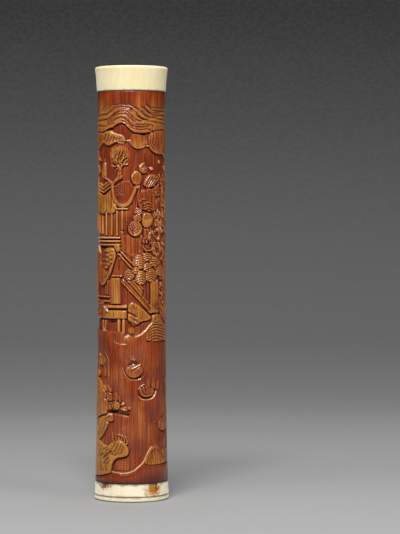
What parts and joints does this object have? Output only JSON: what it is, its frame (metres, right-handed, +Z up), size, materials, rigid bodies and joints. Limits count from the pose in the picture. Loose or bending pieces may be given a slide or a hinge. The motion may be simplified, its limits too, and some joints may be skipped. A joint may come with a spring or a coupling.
{
  "type": "bamboo incense holder",
  "caption": "Tall carved and pierced bamboo tube that stands on a turned bone foot and holds an incense stick under a lift-off bone lid.",
  "frame": {"origin": "centre of the underside, on the surface that the holder stands on", "axes": "+Z up along the tube, -Y towards the pictured side, +X to that viewer's right"},
  "size_m": [0.0366, 0.0366, 0.212],
  "materials": {
    "bamboo": "satin",
    "foot_bone": "satin",
    "lid_bone": "satin",
    "socket_brass": "satin"
  },
  "bodies": {
    "holder": {"bamboo_tube": "bamboo", "foot_plate": "foot_bone", "foot_ring": "foot_bone", "stick_socket": "socket_brass"},
    "lid": {"lid": "lid_bone"}
  },
  "joints": [
    {"name": "lid_lift", "type": "slide", "parent": "holder", "child": "lid", "axis": [0, 0, 1], "range_m": [0, 0.045]}
  ]
}
